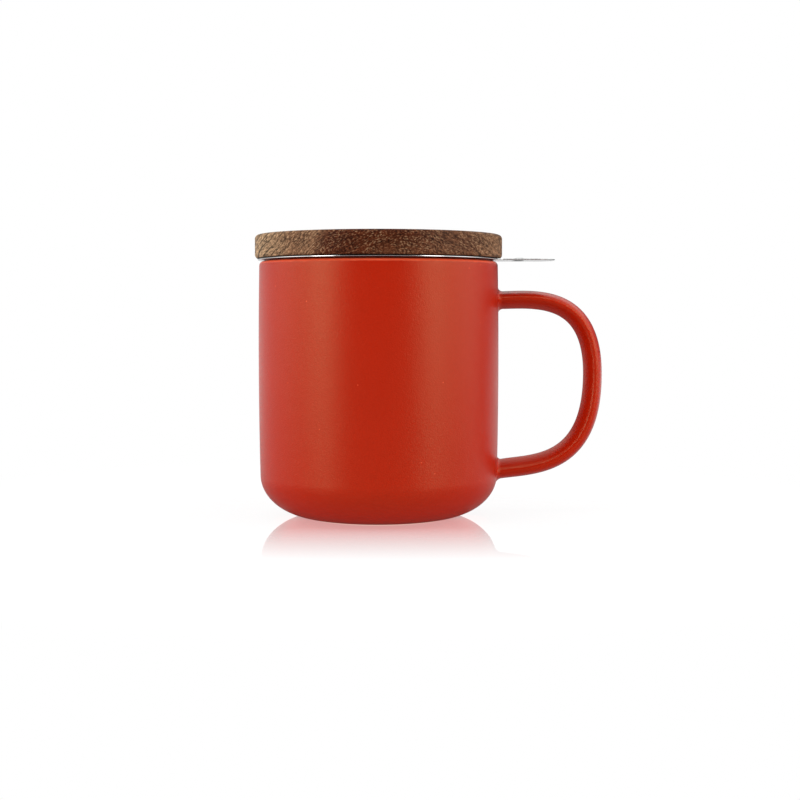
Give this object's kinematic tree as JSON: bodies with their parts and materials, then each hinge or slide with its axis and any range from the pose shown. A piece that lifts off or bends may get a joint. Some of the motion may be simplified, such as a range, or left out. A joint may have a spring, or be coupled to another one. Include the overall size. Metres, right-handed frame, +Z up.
{
  "type": "lidded tea mug with infuser",
  "caption": "Upright stoneware mug with a loop handle, a lift-out slotted steel tea basket with a finger tab, and a lift-off turned wooden lid with a sealing ring.",
  "frame": {"origin": "centre of the mug's foot ring, on the plane it stands on", "axes": "+Z up along the mug's axis, +X from the axis towards the handle and the finger tab, +Y completes a right-handed set"},
  "size_m": [0.1268, 0.0898, 0.1025],
  "materials": {
    "red_glaze": "satin, orange-red glaze with a soft sheen",
    "steel": "fine satin stainless sheet",
    "wood": "oiled, dark, close-grained hardwood, turned",
    "silicone": "translucent white food silicone, matt"
  },
  "bodies": {
    "mug": {"mug_body": "red_glaze", "mug_handle": "red_glaze"},
    "infuser": {"infuser_rim": "steel", "infuser_wall": "steel", "infuser_base": "steel"},
    "lid": {"lid_disc": "wood", "lid_seal": "silicone"}
  },
  "joints": [
    {"name": "infuser_lift", "type": "slide", "parent": "mug", "child": "infuser", "axis": [0, 0, 1], "range_m": [0, 0.08]},
    {"name": "lid_lift", "type": "slide", "parent": "infuser", "child": "lid", "axis": [0, 0, 1], "range_m": [0, 0.045]}
  ]
}
